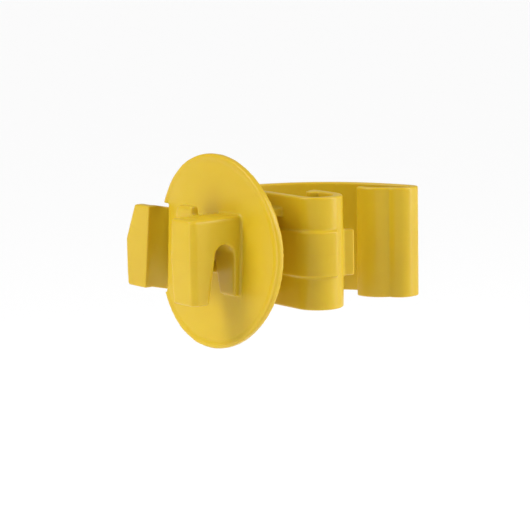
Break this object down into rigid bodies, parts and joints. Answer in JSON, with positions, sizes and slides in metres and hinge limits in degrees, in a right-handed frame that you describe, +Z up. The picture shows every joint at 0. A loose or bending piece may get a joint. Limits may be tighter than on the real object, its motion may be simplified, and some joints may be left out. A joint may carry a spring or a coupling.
{
  "type": "fence insulator",
  "caption": "Clip-on plastic insulator for a steel T-post: round shield, opposed wire hooks, fixed jaw, and a pivoting latch with a thumb lever and stem hook.",
  "frame": {"origin": "centre of the saddle's bearing face, where the flange of the post rests, at mid-height", "axes": "+Y out of the bearing face towards the post's stem, +Z up along the post, +X towards the fixed jaw"},
  "size_m": [0.0737, 0.0842, 0.0614],
  "materials": {
    "body_plastic": "satin moulded yellow polyethylene",
    "latch_plastic": "satin moulded yellow polyethylene"
  },
  "bodies": {
    "clip": {"shield_disc": "body_plastic", "shield_rim": "body_plastic", "hook_bridge": "body_plastic", "hook_finger": "body_plastic", "hook_root": "body_plastic", "keeper_root": "body_plastic", "keeper_tip": "body_plastic", "saddle_plate": "body_plastic", "neck": "body_plastic", "neck_gusset_upper": "body_plastic", "neck_gusset_lower": "body_plastic", "near_jaw": "body_plastic", "jaw_lip": "body_plastic", "jaw_barb": "body_plastic", "jaw_band": "body_plastic", "pry_tab": "body_plastic", "hinge_ear_upper": "body_plastic", "hinge_ear_lower": "body_plastic"},
    "latch": {"latch_barrel": "latch_plastic", "lever_root": "latch_plastic", "lever_wing": "latch_plastic", "thumb_pad": "latch_plastic", "strap_root": "latch_plastic", "latch_strap": "latch_plastic", "strap_band": "latch_plastic", "hook_back": "latch_plastic", "hook_side": "latch_plastic"},
    "tip": {"hook_tip": "latch_plastic"}
  },
  "joints": [
    {"name": "latch_swing", "type": "hinge", "parent": "clip", "child": "latch", "pos_m": [-0.023, -0.003, 0], "axis": [0, 0, 1], "range_deg": [0, 13], "stiffness_Nm_per_rad": 0.35},
    {"name": "hook_flex", "type": "hinge", "parent": "latch", "child": "tip", "pos_m": [0.01577, 0.03551, 0], "axis": [0, 0, 1], "range_deg": [0, 25], "stiffness_Nm_per_rad": 0.05}
  ]
}
